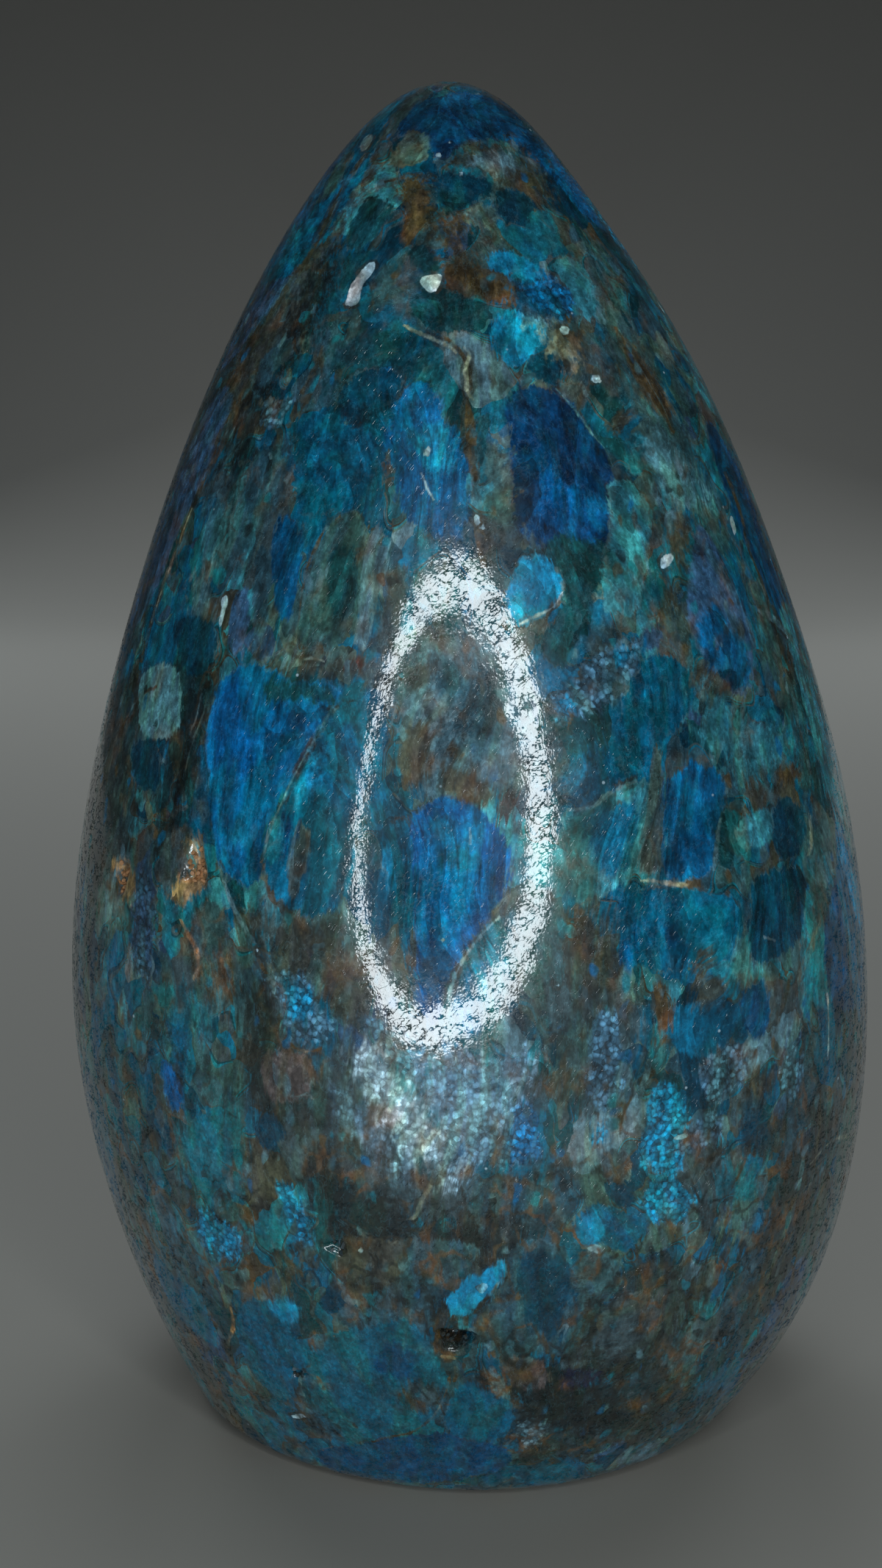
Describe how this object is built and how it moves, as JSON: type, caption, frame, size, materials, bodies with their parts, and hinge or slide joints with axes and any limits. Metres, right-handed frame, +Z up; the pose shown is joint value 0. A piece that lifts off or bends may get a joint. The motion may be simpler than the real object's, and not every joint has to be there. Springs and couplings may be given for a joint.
{
  "type": "blue apatite freeform",
  "caption": "Polished blue apatite freeform: an egg-shaped stone that narrows to a blunt tip and stands on a small flat spot.",
  "frame": {"origin": "middle of the stone's box, on the surface that its flat spot stands on", "axes": "+Z up through the tip, -Y out of the front face, +X to the right of the front face"},
  "size_m": [0.0934, 0.0766, 0.15],
  "materials": {
    "polished_apatite": "polished"
  },
  "bodies": {
    "root": {"apatite_stone": "polished_apatite"}
  },
  "joints": []
}
